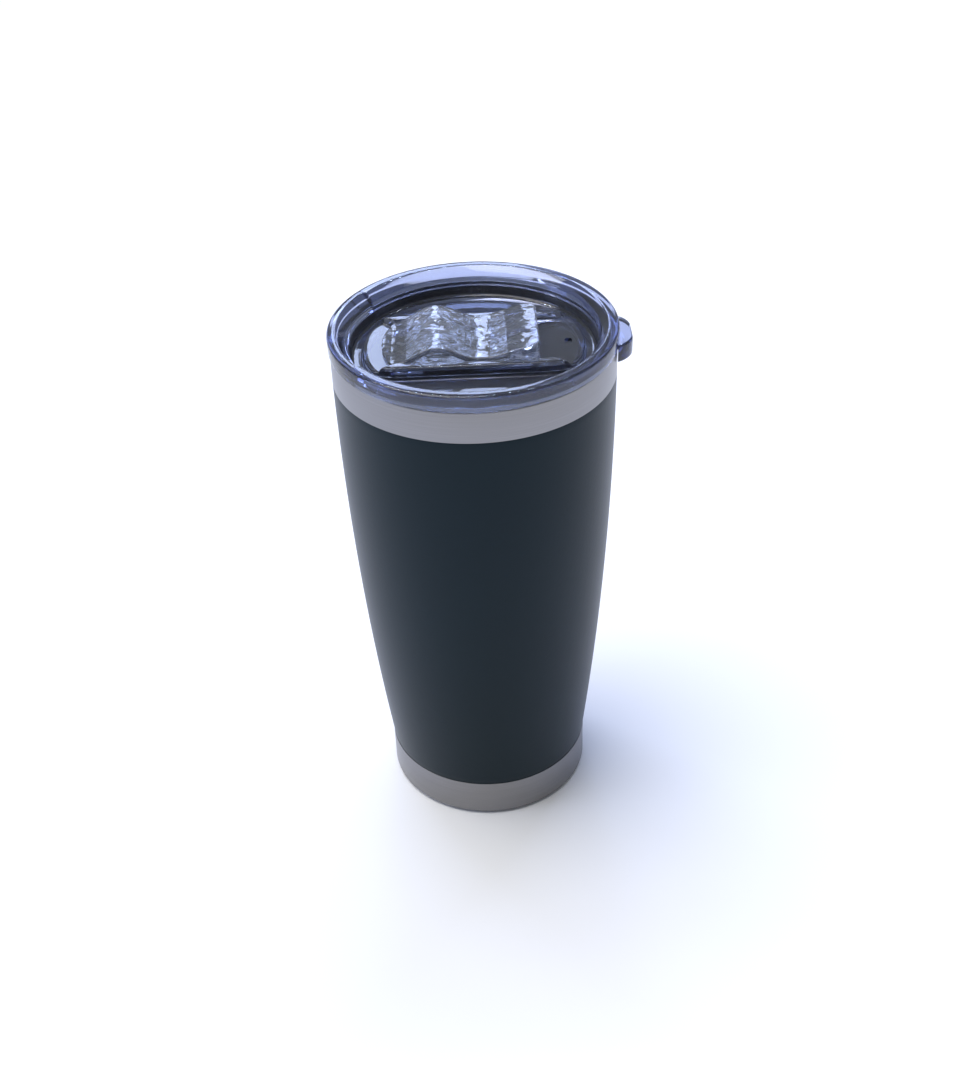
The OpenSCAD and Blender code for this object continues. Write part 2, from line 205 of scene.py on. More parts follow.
def filleted(corners, radii, steps=5):
    """Rounds the rings of corners, an array of ring by angle by (radius, height).

    Each corner P between neighbours A and B becomes the curve (1-t)^2 S + 2t(1-t) P + t^2 E, where S and E
    lie on the edges PA and PB, one fillet radius from P but never past 0.45 of the edge.
    """
    t = np.linspace(0, 1, steps)[:, None, None]
    rings = [corners[:1]]
    for before, corner, after, radius in zip(corners, corners[1:], corners[2:], radii[1:]):
        back, ahead = before - corner, after - corner
        back_len = np.linalg.norm(back, axis=-1, keepdims=True) + 1e-12
        ahead_len = np.linalg.norm(ahead, axis=-1, keepdims=True) + 1e-12
        cut = np.minimum(radius, 0.45 * np.minimum(back_len, ahead_len))
        start, end = corner + back / back_len * cut, corner + ahead / ahead_len * cut
        rings.append((1 - t) ** 2 * start + 2 * t * (1 - t) * corner + t ** 2 * end)
    rings.append(corners[-1:])
    return np.concatenate(rings)


def around(rings, turns):
    """Rings of (radius, height) at each angle in turns, as points (radius cos, radius sin, height)."""
    return np.stack([rings[..., 0] * np.cos(turns), rings[..., 0] * np.sin(turns), rings[..., 1]], -1)


def grid_faces(rows, columns, wrap_rows, wrap_columns):
    """Quads of a rows by columns grid: corners (i, j), (i+1, j), (i+1, j+1), (i, j+1), modulo what wraps."""
    i = np.arange(rows if wrap_rows else rows - 1)[:, None]
    j = np.arange(columns if wrap_columns else columns - 1)[None, :]
    down, right = (i + 1) % rows, (j + 1) % columns
    quads = [i * columns + j, down * columns + j, down * columns + right, i * columns + right]
    return np.stack(np.broadcast_arrays(*quads), -1).reshape(-1, 4)


def finish_mesh(mesh, sharp_degrees=38):
    """Merges coincident points, drops faces with no area, turns faces outwards and shades softly."""
    work = bmesh.new()
    work.from_mesh(mesh)
    bmesh.ops.remove_doubles(work, verts=work.verts, dist=2e-6)
    bmesh.ops.dissolve_degenerate(work, edges=work.edges, dist=1e-6)
    bmesh.ops.recalc_face_normals(work, faces=work.faces)
    if work.calc_volume(signed=True) < 0:
        bmesh.ops.reverse_faces(work, faces=work.faces)
    work.to_mesh(mesh)
    work.free()
    mesh.shade_smooth()
    mesh.set_sharp_from_angle(angle=math.radians(sharp_degrees))


def piece(name, points, faces):
    """A linked object at the origin with these points and faces."""
    mesh = bpy.data.meshes.new(name)
    mesh.from_pydata(points.reshape(-1, 3).tolist(), [], [list(f) for f in faces])
    finish_mesh(mesh)
    made = bpy.data.objects.new(name, mesh)
    bpy.context.scene.collection.objects.link(made)
    return made


def turned(name, profile, radii, segments=256, steps=5, closed=True):
    """Carries a rounded profile of (radius, height) corners once round the Z axis."""
    turns = np.linspace(0, TURN, segments, endpoint=False)
    corners = np.repeat(np.asarray(profile, float)[:, None, :], segments, 1)
    if closed:
        half = (corners[:1] + corners[-1:]) / 2
        corners = np.concatenate([half, corners, half])
        radii = [0, *radii, 0]
    rings = filleted(corners, radii, steps)
    points = around(rings, turns)
    return piece(name, points, grid_faces(len(points), segments, False, True).tolist())


def inset(outline, distance):
    """Moves a closed outline inwards along its normals, each the mean of its two edges' normals."""
    edge = np.roll(outline, -1, 0) - outline
    normal = np.stack([-edge[:, 1], edge[:, 0]], -1)
    normal /= np.linalg.norm(normal, axis=1, keepdims=True) + 1e-12
    mean = normal + np.roll(normal, 1, 0)
    mean /= np.linalg.norm(mean, axis=1, keepdims=True) + 1e-12
    return outline + mean * distance


def swept_rings(outline, low, high, fillet, steps=5):
    """A closed outline carried from low to high, its end rings drawn in along a quarter circle."""
    t = np.linspace(0, math.pi / 2, steps) if fillet > 0 else np.array([math.pi / 2])
    insets = np.concatenate([fillet * (1 - np.sin(t)), fillet * (1 - np.sin(t[::-1]))])
    levels = np.concatenate([low + fillet * (1 - np.cos(t)), high - fillet * (1 - np.cos(t[::-1]))])
    return [(inset(outline, d), level) for d, level in zip(insets, levels)]


def slab(name, outline, low, high, fillet=0.0):
    """A plan outline, anticlockwise, carried up from low to high with rounded edges."""
    rings = swept_rings(outline, low, high, fillet)
    points = np.stack([np.column_stack([ring, np.full(len(ring), level)]) for ring, level in rings])
    count = len(outline)
    faces = grid_faces(len(rings), count, False, True).tolist()
    faces += [list(range(count)), list(range((len(rings) - 1) * count, len(rings) * count))]
    return piece(name, points, faces)


def rounded_box(x0, x1, half, radius, steps=10):
    """Outline, anticlockwise, of a rectangle x0 to x1 by -half to half with quarter-circle corners."""
    t = np.linspace(0, math.pi / 2, steps)
    centres = [(x1 - radius, half - radius, 0), (x0 + radius, half - radius, 1),
               (x0 + radius, -half + radius, 2), (x1 - radius, -half + radius, 3)]
    return np.concatenate([
        np.stack([cx + radius * np.cos(t + q * math.pi / 2), cy + radius * np.sin(t + q * math.pi / 2)], -1)
        for cx, cy, q in centres])


def circle(radius, steps):
    """Outline, anticlockwise, of a circle about the Z axis."""
    turns = np.linspace(0, TURN, steps, endpoint=False)
    return np.column_stack([radius * np.cos(turns), radius * np.sin(turns)])


def carve(target, tool, operation):
    """Joins tool to target, or takes it away, as solids."""
    step = target.modifiers.new(operation, "BOOLEAN")
    step.operation, step.solver, step.object = operation, "EXACT", tool
    solid = bpy.data.meshes.new_from_object(
        target.evaluated_get(bpy.context.evaluated_depsgraph_get()))
    target.modifiers.clear()
    target.data = solid
    solid.name = target.name
    bpy.data.objects.remove(tool)
    finish_mesh(solid)


def side_radius(sizes, z):
    """Outside radius of the cup's side at height z: a straight taper plus the parabola 4 bow u (1-u)."""
    u = np.clip((z - COAT_LOW.z) / (COAT_HIGH.z - COAT_LOW.z), 0, 1)
    foot = COVER_HIGH.x - sizes.band_step
    return foot * (1 - u) + SHELL_HIGH.x * u + 4 * sizes.bow * u * (1 - u)


def liner_radius(sizes, z):
    """Radius of the drinking space: the outside less a wall that thins evenly towards the mouth."""
    u = np.clip((z - COAT_LOW.z) / (COAT_HIGH.z - COAT_LOW.z), 0, 1)
    return side_radius(sizes, z) - sizes.foot_wall + (sizes.foot_wall - sizes.mouth_wall) * u


def wave(sizes, x, start, crest, dip, tail):
    """Top of the grip above its plate: half-cosine steps from 0 to the crest, the dip and the tail."""
    ease = lambda a, b, t: a + (b - a) * (1 - np.cos(math.pi * np.clip(t, 0, 1))) / 2
    rise = ease(0, sizes.crest, (x - start) / (crest - start))
    fall = ease(sizes.crest, sizes.dip, (x - crest) / (dip - crest))
    end = ease(sizes.dip, sizes.tail, (x - dip) / (tail - dip))
    return np.where(x < crest, rise, np.where(x < dip, fall, end))


# ---- finishes ----

class Wire:
    """A socket that adds a Math node whenever it is used in arithmetic."""

    def __init__(self, finish, socket):
        self.finish, self.socket = finish, socket

    def math(self, operation, *values):
        return self.finish.node("ShaderNodeMath", {"operation": operation}, dict(enumerate(values)))

    def __add__(self, other):
        return self.math("ADD", self, other)

    def __sub__(self, other):
        return self.math("SUBTRACT", self, other)

    def __rsub__(self, other):
        return self.math("SUBTRACT", other, self)

    def __mul__(self, other):
        return self.math("MULTIPLY", self, other)

    __radd__, __rmul__ = __add__, __mul__


class Finish:
    """A material whose pattern is written as expressions on Wires."""

    def __init__(self, name, **constants):
        self.material = bpy.data.materials.new(name)
        self.material.use_nodes = True
        self.tree = self.material.node_tree
        self.shader = self.tree.nodes["Principled BSDF"]
        for socket, value in constants.items():
            self.shader.inputs[socket.replace("_", " ")].default_value = value
        place = self.tree.nodes.new("ShaderNodeTexCoord")
        self.place = Wire(self, place.outputs["Object"])

    def node(self, kind, settings=None, inputs=None, output=0):
        """Adds a node, sets its settings, then fills its sockets with values or Wires."""
        made = self.tree.nodes.new(kind)
        for key, value in (settings or {}).items():
            setattr(made, key, value)
        for key, value in (inputs or {}).items():
            if isinstance(value, Wire):
                self.tree.links.new(value.socket, made.inputs[key])
            else:
                made.inputs[key].default_value = value
        return Wire(self, made.outputs[output])

    def ramp(self, value, low, high):
        """Runs value from 0 at low to 1 at high, clamped."""
        return self.node("ShaderNodeMapRange", {}, {"Value": value, "From Min": low, "From Max": high})

    def noise(self, scale, detail, at=None):
        """Noise from 0 to 1 with this many cells a metre."""
        return self.node("ShaderNodeTexNoise", {},
                         {"Vector": at or self.place, "Scale": scale, "Detail": detail})

    def blend(self, factor, low, high):
        """Colour from low to high by factor."""
        return self.node("ShaderNodeMix", {"data_type": "RGBA"},
                         {0: factor, 6: (*low, 1), 7: (*high, 1)}, output=2)

    def drive(self, socket, wire):
        """Links a wire to one of the shader's sockets."""
        self.tree.links.new(wire.socket, self.shader.inputs[socket])

    def bump(self, height, distance, strength=1.0):
        """Raises the surface by height times distance."""
        self.drive("Normal", self.node(
            "ShaderNodeBump", {}, {"Height": height, "Distance": distance, "Strength": strength}))

    def absorb(self, tint, density):
        """Darkens light by the distance that it travels inside the solid."""
        volume = self.tree.nodes.new("ShaderNodeVolumeAbsorption")
        volume.inputs["Color"].default_value = (*tint, 1)
        volume.inputs["Density"].default_value = density
        self.tree.links.new(volume.outputs[0], self.tree.nodes["Material Output"].inputs["Volume"])


def scaled(rgb, factor):
    """The colour made lighter or darker."""
    return tuple(min(1.0, c * factor) for c in rgb)


def powder_paint(rgb):
    """Satin powder coat: soft orange peel about a millimetre across, with a finer grain on top."""
    paint = Finish("powder_paint", Specular_IOR_Level=0.2, IOR=1.5, Specular_Tint=(0.7, 0.85, 1, 1))
    peel = paint.noise(900, 2)
    grain = paint.noise(4200, 1)
    cloud = paint.noise(22, 3)
    paint.drive("Base Color", paint.blend(cloud, scaled(rgb, 0.85), scaled(rgb, 1.2)))
    paint.drive("Roughness", 0.3 + 0.08 * grain + 0.06 * cloud)
    paint.bump(peel * 0.8 + grain * 0.2, 0.03 * MM, 0.6)
    return paint.material


def turned_steel(name, rgb, rough, depth):
    """Steel brushed round the Z axis: streaks long in x and y and very short in height and in radius."""
    steel = Finish(name, Metallic=1.0, Anisotropic=0.55)
    flat = steel.node("ShaderNodeVectorMath", {"operation": "MULTIPLY"}, {0: steel.place, 1: (1, 1, 0)})
    radius = steel.node("ShaderNodeVectorMath", {"operation": "LENGTH"}, {0: flat}, output=1)
    height = steel.node("ShaderNodeSeparateXYZ", {}, {0: steel.place}, output=2)
    cells_across = 260.0
    spot = steel.node("ShaderNodeCombineXYZ", {}, {2: (radius + height) * cells_across})
    streak_at = steel.node("ShaderNodeVectorMath", {"operation": "ADD"}, {0: flat, 1: spot})
    streaks = steel.noise(24, 4, at=streak_at)
    patches = steel.noise(45, 2)
    steel.drive("Base Color", steel.blend(streaks, scaled(rgb, 0.82), scaled(rgb, 1.18)))
    steel.drive("Roughness", rough + 0.16 * streaks + 0.05 * patches)
    steel.bump(streaks, depth)
    return steel.material


def moulded_clear(name, tint, density, clearness, rough, ripple, ripple_scale):
    """Clear moulded plastic: tinted by depth, slightly cloudy, with flow ripples and fine handling marks."""
    dull, bright = (0.84, 0.88, 0.96), (0.94, 0.96, 1)
    plastic = Finish(name, Transmission_Weight=clearness, IOR=1.52)
    marks = plastic.noise(700, 2)
    plastic.drive("Base Color", plastic.blend(plastic.noise(90, 2), dull, bright))
    plastic.drive("Roughness", rough + 0.03 * plastic.ramp(marks, 0.5, 0.7))
    plastic.bump(plastic.noise(ripple_scale, 1.5), ripple)
    plastic.absorb(tint, density)
    return plastic.material


def silicone(rgb):
    """Black silicone with a fine matt grain."""
    rubber = Finish("black_silicone", Specular_IOR_Level=0.4)
    grain = rubber.noise(3000, 2)
    rubber.drive("Base Color", rubber.blend(grain, scaled(rgb, 0.7), scaled(rgb, 1.4)))
    rubber.drive("Roughness", 0.42 + 0.14 * grain)
    rubber.bump(grain, 0.02 * MM)
    return rubber.material


def hidden_metal(name, rgb, metallic, rough, scale):
    """A pressed or fused inner part with a plain mottled surface."""
    metal = Finish(name, Metallic=metallic)
    mottle = metal.noise(scale, 3)
    metal.drive("Base Color", metal.blend(mottle, scaled(rgb, 0.8), scaled(rgb, 1.2)))
    metal.drive("Roughness", rough + 0.15 * mottle)
    metal.bump(mottle, 0.02 * MM)
    return metal.material


def dress(made, material, body, slot, *nodes):
    """Gives a piece its finish and its body, and hides the CAD nodes that it stands for. The slot argument is
    not used.
    """
    made.data.materials.clear()
    made.data.materials.append(material)
    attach(made, body)
    if nodes:
        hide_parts(*nodes)


# ---- operators ----

class TUMBLER_OT_stage(bpy.types.Operator):
    """Makes the camera, the pale floor and the soft studio light"""
    bl_idname = "tumbler.stage"
    bl_label = "Studio"

    def execute(self, context):
        sizes = context.scene.tumbler_stage
        self.camera(context, sizes)
        self.floor()
        self.world(context)
        for name, (place, size, power) in SOFTBOXES.items():
            self.softbox(name, place, size, power)
        self.overhead()
        context.scene.view_settings.view_transform = "Standard"
        return {"FINISHED"}

    def camera(self, context, sizes):
        data = bpy.data.cameras.new("camera")
        data.lens, data.sensor_width = sizes.focal, 36
        data.shift_x, data.shift_y = -0.001, 0.02
        data.clip_start, data.clip_end = 0.01, 50
        rig = bpy.data.objects.new("camera", data)
        context.scene.collection.objects.link(rig)
        back = np.array([0, -math.cos(sizes.elevation), math.sin(sizes.elevation)])
        up = np.array([0, math.sin(sizes.elevation), math.cos(sizes.elevation)])
        right = np.array([1.0, 0, 0])
        turn, lean = math.cos(sizes.roll), math.sin(sizes.roll)
        axes = np.eye(4)
        axes[:3, 0] = right * turn - up * lean
        axes[:3, 1] = up * turn + right * lean
        axes[:3, 2] = back
        axes[:3, 3] = np.array([0, 0, sizes.aim]) + back * sizes.distance
        rig.matrix_world = Matrix(axes.tolist())
        context.scene.camera = rig

    def floor(self):
        mesh = bpy.data.meshes.new("floor")
        reach = 6
        mesh.from_pydata([(-reach, -reach, 0), (reach, -reach, 0), (reach, reach, 0), (-reach, reach, 0)],
                         [], [(0, 1, 2, 3)])
        made = bpy.data.objects.new("floor", mesh)
        bpy.context.scene.collection.objects.link(made)
        paper = Finish("pale_floor", Roughness=0.9, Specular_IOR_Level=0.1)
        paper.shader.inputs["Base Color"].default_value = FLOOR_COLOUR
        mesh.materials.append(paper.material)
        made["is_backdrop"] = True

    def world(self, context):
        world = bpy.data.worlds.new("studio")
        world.use_nodes = True
        background = world.node_tree.nodes["Background"]
        background.inputs["Color"].default_value = SURROUNDINGS_COLOUR
        background.inputs["Strength"].default_value = 0.3
        context.scene.world = world

    def overhead(self):
        """A wide, even light from above that whitens the whole floor."""
        data = bpy.data.lights.new("overhead", "SUN")
        data.energy, data.angle = 2.15, math.radians(50)
        data.color = OVERHEAD_COLOUR
        lamp = bpy.data.objects.new("overhead", data)
        bpy.context.scene.collection.objects.link(lamp)
        lamp.rotation_euler = (0, math.radians(-20), 0)

    def softbox(self, name, place, size, power):
        """A soft rectangular light turned towards the middle of the object."""
        data = bpy.data.lights.new(name, "AREA")
        data.shape, data.size, data.size_y, data.energy = "RECTANGLE", *size, power
        data.color = SOFTBOX_COLOUR
        lamp = bpy.data.objects.new(name, data)
        bpy.context.scene.collection.objects.link(lamp)
        lamp.location = place
        low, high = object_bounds()
        centre = (low + high) / 2
        lamp.rotation_euler = (centre - lamp.location).to_track_quat("-Z", "Y").to_euler()


class TUMBLER_OT_cup(bpy.types.Operator):
    """Turns the painted side, the steel shell with its bands and lip, the foot cover and the liner"""
    bl_idname = "tumbler.cup"
    bl_label = "Cup"

    def execute(self, context):
        sizes, looks = context.scene.tumbler_cup, context.scene.tumbler_finishes
        steel = turned_steel("bare_steel", looks.steel, 0.24, 0.012 * MM)
        inner = turned_steel("liner_steel", looks.liner, 0.3, 0.006 * MM)
        levels = np.linspace(COAT_LOW.z, COAT_HIGH.z, 60)
        side = np.column_stack([side_radius(sizes, levels), levels])
        dress(self.coat(sizes, side), powder_paint(looks.paint), "cup", "dark_paint", "powder_coat")
        dress(self.shell(sizes, side), steel, "cup", "bare_steel", "outer_shell")
        dress(self.cover(sizes), steel, "cup", "bare_steel", "base_cover")
        dress(self.liner(sizes), inner, "cup", "liner_steel", "inner_liner")
        dress(self.bottom(sizes), inner, "cup", "liner_steel", "liner_bottom")
        return {"FINISHED"}

    def coat(self, sizes, side):
        """The side's outline and the same outline one coat further in."""
        inner = side[::-1] - [sizes.coat, 0]
        profile = np.concatenate([side, inner])
        radii = np.zeros(len(profile))
        radii[[0, len(side) - 1]] = sizes.coat * 0.5
        return turned("painted_side", profile, radii, steps=4)

    def shell(self, sizes, side):
        """Foot band, the wall under the paint, lip band, rounded lip and the inside of the wall."""
        foot, lip, thick = COVER_HIGH.x, SHELL_HIGH.x, sizes.steel
        under = side - [sizes.coat, 0]
        inside = side[::-1] - [sizes.coat + thick, 0]
        mouth = lip - sizes.mouth_wall + thick
        top, low = SHELL_HIGH.z, SHELL_LOW.z
        profile = np.concatenate([
            [[foot, low], [foot, COAT_LOW.z]], under, [[lip, COAT_HIGH.z], [lip, top], [mouth, top],
            [mouth, top - thick], [lip - thick, top - thick], [lip - thick, COAT_HIGH.z]],
            inside, [[foot - thick, COAT_LOW.z], [foot - thick, low]]])
        radii = np.full(len(profile), 0.05 * MM)
        count = len(under)
        radii[2 : count + 2] = 0
        radii[0] = 0.2 * MM
        radii[count + 3] = sizes.lip_round
        radii[count + 6] = 0.2 * MM
        radii[-count - 2 :] = 0
        return turned("steel_shell", profile, radii)

    def cover(self, sizes):
        """Rounded foot ring, the hollow inside it with one shallow step, and the skirt inside the shell."""
        edge = SHELL_LOW.z
        foot, bore, thick = COVER_HIGH.x, COVER_HIGH.x - sizes.steel, 0.7 * MM
        step_in, step_width, step_height = 8 * MM, 0.6 * MM, 0.35 * MM
        ring = foot - edge
        inner = ring - sizes.foot_ring
        hollow = inner - sizes.foot_hollow
        top = COVER_HIGH.z
        shelf = sizes.foot_hollow - step_height
        profile = [(0, sizes.foot_hollow), (hollow - step_in, sizes.foot_hollow),
                   (hollow - step_in - step_width, shelf), (hollow, shelf),
                   (inner, 0), (ring, 0), (foot, edge - 0.1 * MM), (foot - 0.25 * MM, edge),
                   (bore, edge + 0.05 * MM), (bore, top), (bore - thick, top), (bore - thick, thick),
                   (inner, thick), (hollow, sizes.foot_hollow + thick), (0, sizes.foot_hollow + thick)]
        radii = [0, 0.5 * MM, 0.5 * MM, 1 * MM, 1 * MM, 0.9 * MM, 0.4 * MM, 0, 0, 0.1 * MM, 0.1 * MM,
                 0.5 * MM, 0.5 * MM, 0.5 * MM, 0]
        return turned("foot_cover", profile, radii, closed=False)

    def liner(self, sizes):
        """The wall of the drinking space, one steel thickness, from the floor's rounding to the lip."""
        levels = np.concatenate([np.linspace(LINER_LOW.z, COAT_HIGH.z, 60), [SHELL_HIGH.z]])
        inside = np.column_stack([liner_radius(sizes, levels), levels])
        inside[-1, 0] = inside[-2, 0]
        profile = np.concatenate([inside, inside[::-1] + [sizes.steel, 0]])
        radii = np.zeros(len(profile))
        radii[len(levels) - 1] = 0.25 * MM
        return turned("liner_wall", profile, radii)

    def bottom(self, sizes):
        """The drinking floor and its quarter-circle corner."""
        join = LINER_LOW.z
        rim = float(liner_radius(sizes, np.array([join]))[0])
        t = np.linspace(-math.pi / 2, 0, 16)
        corner = lambda extra: np.column_stack([
            rim - sizes.floor_round + (sizes.floor_round + extra) * np.cos(t),
            join + (sizes.floor_round + extra) * np.sin(t)])
        floor = join - sizes.floor_round
        profile = np.concatenate([[[0, floor]], corner(0), corner(sizes.steel)[::-1],
                                  [[0, floor - sizes.steel]]])
        return turned("liner_floor", profile, np.zeros(len(profile)), closed=False)


class TUMBLER_OT_lid(bpy.types.Operator):
    """Makes the clear lid as one solid, with rim, well, deck, rails, drinking slope, tab and holes"""
    bl_idname = "tumbler.lid"
    bl_label = "Lid"

    def execute(self, context):
        sizes, looks = context.scene.tumbler_lid, context.scene.tumbler_finishes
        lid = self.body(sizes)
        carve(lid, self.tab(sizes), "UNION")
        for tool in self.holes(context, sizes):
            carve(lid, tool, "DIFFERENCE")
        smoke = moulded_clear(
            "smoke_plastic", looks.smoke, density=205.0, clearness=0.975, rough=0.03,
            ripple=0.03 * MM, ripple_scale=160)
        dress(lid, smoke, "lid", "smoke_plastic", "lid_shell")
        return {"FINISHED"}

    def angles(self, sizes):
        """Angles round the lid, closer together where the slope and the rails end."""
        even = np.linspace(0, TURN, 300, endpoint=False)
        slope = sizes.slope_angle
        ends = math.pi + np.array([-slope, slope])
        rail = math.atan2(sizes.deck_half - sizes.rail, self.rail_end(sizes))
        rails = np.array([rail, math.pi - rail, math.pi + rail, TURN - rail])
        near = np.radians(np.linspace(-2.6, 2.6, 15))
        extra = (np.concatenate([ends, rails])[:, None] + near).ravel()
        return np.unique(np.round(np.concatenate([even, extra]) % TURN, 5))

    def rail_end(self, sizes):
        """Half the length of the rails, which stop just short of the deck's round ends."""
        return math.sqrt(sizes.deck_radius ** 2 - sizes.deck_half ** 2) - 0.5 * MM

    def body(self, sizes):
        """One closed surface: a profile from the deck's middle, out over the rim and back below.

        Every corner is a radius and a height at each angle. A straight line y = a is the radius a / |sin|,
        held below a limit. The rails' height runs smoothly to 0 at their ends, and the drinking slope is a
        smooth window on the angle.
        """
        turns = self.angles(sizes)
        sine = np.maximum(np.abs(np.sin(turns)), 1e-6)
        ramp = lambda value: (lambda t: t * t * (3 - 2 * t))(np.clip(value, 0, 1))
        turn_in = 14.0
        line = lambda half, most: (np.power(sine / half, turn_in) + most ** -turn_in) ** (-1 / turn_in)
        top = LID_HIGH.z
        floor = top - sizes.well_depth
        deck = floor + sizes.deck_height
        rail_in = sizes.deck_half - sizes.rail
        start = math.atan2(rail_in, self.rail_end(sizes))
        folded = np.abs((turns + math.pi / 2) % math.pi - math.pi / 2)
        rail_fade, slope_fade = math.radians(2.2), math.radians(1.6)
        rails = ramp((folded - start) / rail_fade)
        off = np.abs((turns - math.pi + math.pi) % TURN - math.pi)
        slope = ramp((sizes.slope_angle - off) / slope_fade + 0.5)
        outside = RIM_RADIUS
        edge = line(sizes.deck_half, sizes.deck_radius)
        inner = line(rail_in, sizes.deck_radius - 2.6 * MM)
        lip = inner * (1 - sizes.rail_reach / rail_in * rails) + 0.2 * MM * (1 - rails)
        under = line(sizes.deck_half - sizes.wall, sizes.deck_radius - sizes.wall)
        slot, rail_top = deck + sizes.rail_slot * rails, deck + (sizes.rail_slot + sizes.rail_lip) * rails
        wall_r = sizes.well_radius + 0.95 * MM
        wall_z = top - sizes.bevel_height
        bevel_r = outside - sizes.rim_flat
        low_r = wall_r + (sizes.well_radius + 0.2 * MM - wall_r) * slope
        low_z = wall_z + (floor + 4 * MM - wall_z) * slope
        high_r = bevel_r + (outside - sizes.slope_rim - bevel_r) * slope
        flange = top - sizes.flange
        groove = top - sizes.groove_top
        groove_low = groove - sizes.groove_height
        skirt = LID_LOW.z
        plug, inside = sizes.plug_radius, sizes.plug_radius - sizes.wall
        below = floor - sizes.wall
        corners = [
            (0, deck, 0), (inner, deck, 0.2), (inner, slot, 0.15), (lip, slot, 0.12), (lip, rail_top, 0.2),
            (edge, rail_top, 0.9), (edge, floor, 0.9), (sizes.well_radius, floor, 1.3),
            (low_r, low_z, 0.9), (high_r, top, 0.5), (outside, top, 1.2), (outside, flange, 0.5),
            (plug, flange, 0.2), (plug, groove, 0.1), (sizes.groove_radius, groove, 0.15),
            (sizes.groove_radius, groove_low, 0.15), (plug, groove_low, 0.2), (plug, skirt + 1.2 * MM, 0.6),
            (plug - 0.6 * MM, skirt, 0.3), (inside, skirt, 0.3), (inside, below, 0.8),
            (under, below, 0.3), (under, deck - sizes.wall, 0.3), (0, deck - sizes.wall, 0)]
        rings = np.array([[np.broadcast_to(r, turns.shape), np.broadcast_to(z, turns.shape)]
                          for r, z, _ in corners]).transpose(0, 2, 1)
        rings = filleted(rings, [radius * MM for _, _, radius in corners], 6)
        return piece("lid", around(rings, turns), grid_faces(len(rings), len(turns), False, True).tolist())

    def tab(self, sizes):
        """Lift tab: a rounded slab from inside the rim's wall out to the lid's furthest point."""
        reach, root = LID_HIGH.x, sizes.plug_radius + 1 * MM
        steps = 16
        plan = rounded_box(0, reach, sizes.tab_width / 2, sizes.tab_round, steps)
        far, near = plan[:steps], plan[-steps:]
        outline = np.concatenate([far, [[root, far[-1, 1]], [root, near[0, 1]]], near])
        outline[:, 0] = root + (outline[:, 0] - root) * (
            np.sqrt(reach ** 2 - outline[:, 1] ** 2) - root) / (reach - root)
        top = LID_HIGH.z - sizes.tab_drop
        made = slab("tab", outline, top - sizes.tab_height, top, 0.7 * MM)
        flange = LID_HIGH.z - sizes.flange
        carve(made, slab("lip_tool", circle(RIM_RADIUS, 300), flange - 10 * MM, flange), "DIFFERENCE")
        return made

    def holes(self, context, sizes):
        """Tools for the drink opening, the peg's slot and the vent."""
        grip = context.scene.tumbler_slider
        deck = LID_HIGH.z - sizes.well_depth + sizes.deck_height
        low, high = deck - sizes.wall - 1 * MM, deck + 0.6 * MM
        tip = -SLIDER_LOW.x - sizes.drink_inset
        drink = rounded_box(-tip, -tip + sizes.drink_length, sizes.drink_width / 2, 3 * MM)
        drink[:, 0] += tip - np.sqrt(tip ** 2 - drink[:, 1] ** 2)
        yield slab("drink_tool", drink, low, high)
        half = grip.peg / 2 + 0.25 * MM
        slot = rounded_box(DIP_X - half, DIP_X + sizes.travel + half, half, half - 0.01 * MM)
        yield slab("slot_tool", slot, low, high)
        vent, half = sizes.deck_radius - sizes.vent_inset, sizes.vent / 2
        yield slab("vent_tool", rounded_box(vent - half, vent + half, half, half - 0.01 * MM), low, high)


class TUMBLER_OT_gasket(bpy.types.Operator):
    """Turns the black gasket with its two fins"""
    bl_idname = "tumbler.gasket"
    bl_label = "Gasket"

    def execute(self, context):
        looks = context.scene.tumbler_finishes
        lid = context.scene.tumbler_lid
        low, high, fin = GASKET_LOW.z, GASKET_HIGH.z, GASKET_HIGH.x
        inner, root = lid.groove_radius + 0.06 * MM, lid.plug_radius + 0.35 * MM
        middle = (low + high) / 2
        profile = [(inner, low), (root, low), (fin, low + 0.4 * MM), (fin, low + 0.75 * MM),
                   (root, low + 1 * MM), (root, middle), (fin, middle + 0.4 * MM),
                   (fin, middle + 0.75 * MM), (root, middle + 1 * MM), (root, high), (inner, high)]
        radii = [r * MM for r in (0.1, 0.2, 0.15, 0.15, 0.2, 0.2, 0.15, 0.15, 0.2, 0.2, 0.1)]
        ring = turned("gasket", profile, radii)
        dress(ring, silicone(looks.silicone), "gasket", "black_silicone", "lid_gasket")
        return {"FINISHED"}


